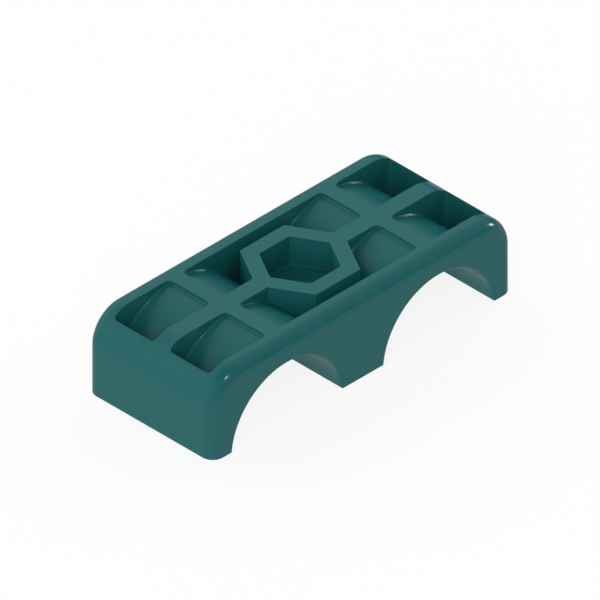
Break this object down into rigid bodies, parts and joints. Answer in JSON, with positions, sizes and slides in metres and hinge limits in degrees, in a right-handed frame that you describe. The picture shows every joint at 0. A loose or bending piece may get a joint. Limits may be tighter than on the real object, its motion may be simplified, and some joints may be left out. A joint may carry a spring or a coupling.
{
  "type": "block clamp half",
  "caption": "Moulded plastic half of a twin-pipe block clamp: arched pipe seats side by side below, ribbed and pocketed top with a hexagonal boss in the middle.",
  "frame": {"origin": "centre of the flat closing face, on which the half stands", "axes": "+X along the long side, across both pipes; +Y along the pipe axes; +Z from the closing face up to the ribbed top face"},
  "size_m": [0.0714, 0.03, 0.0165],
  "materials": {
    "moulded_plastic": "smooth glossy dark teal injection-moulded polypropylene"
  },
  "bodies": {
    "root": {"clamp_half": "moulded_plastic"}
  },
  "joints": []
}
